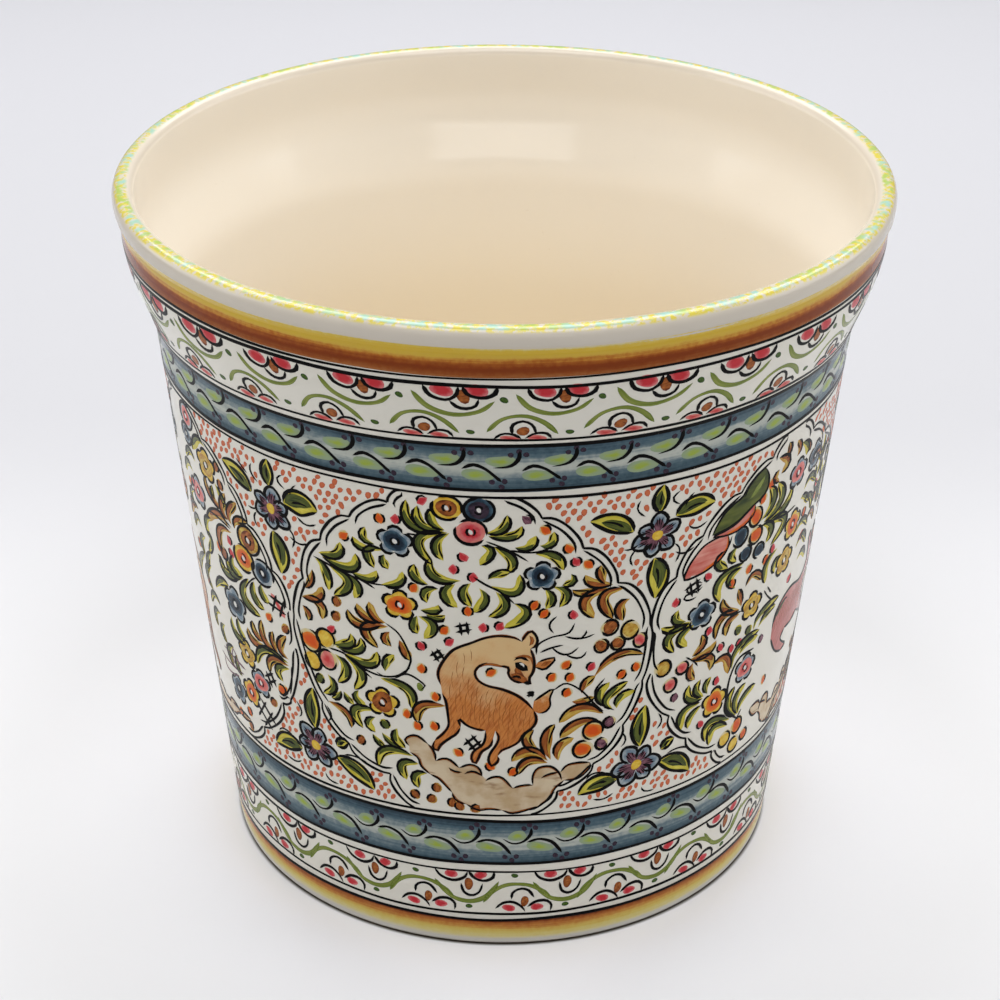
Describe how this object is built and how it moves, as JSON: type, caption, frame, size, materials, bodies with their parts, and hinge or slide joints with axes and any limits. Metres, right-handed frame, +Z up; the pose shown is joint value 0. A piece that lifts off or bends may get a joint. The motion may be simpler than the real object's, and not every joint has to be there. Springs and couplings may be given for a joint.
{
  "type": "cachepot",
  "caption": "Round glazed ceramic cachepot with a straight taper body, a soft shoulder, an upright collar and a rolled lip, painted all round in bands and round panels of leaves and flowers.",
  "frame": {"origin": "middle of the foot, on the table that the pot stands on", "axes": "+Z up along the pot's axis, -Y towards the side that the picture shows"},
  "size_m": [0.24, 0.24, 0.229],
  "materials": {
    "glazed_earthenware": "white tin glaze fired glossy over earthenware, cream inside, painted in many colours outside, bare clay under the foot"
  },
  "bodies": {
    "root": {"pot": "glazed_earthenware"}
  },
  "joints": []
}
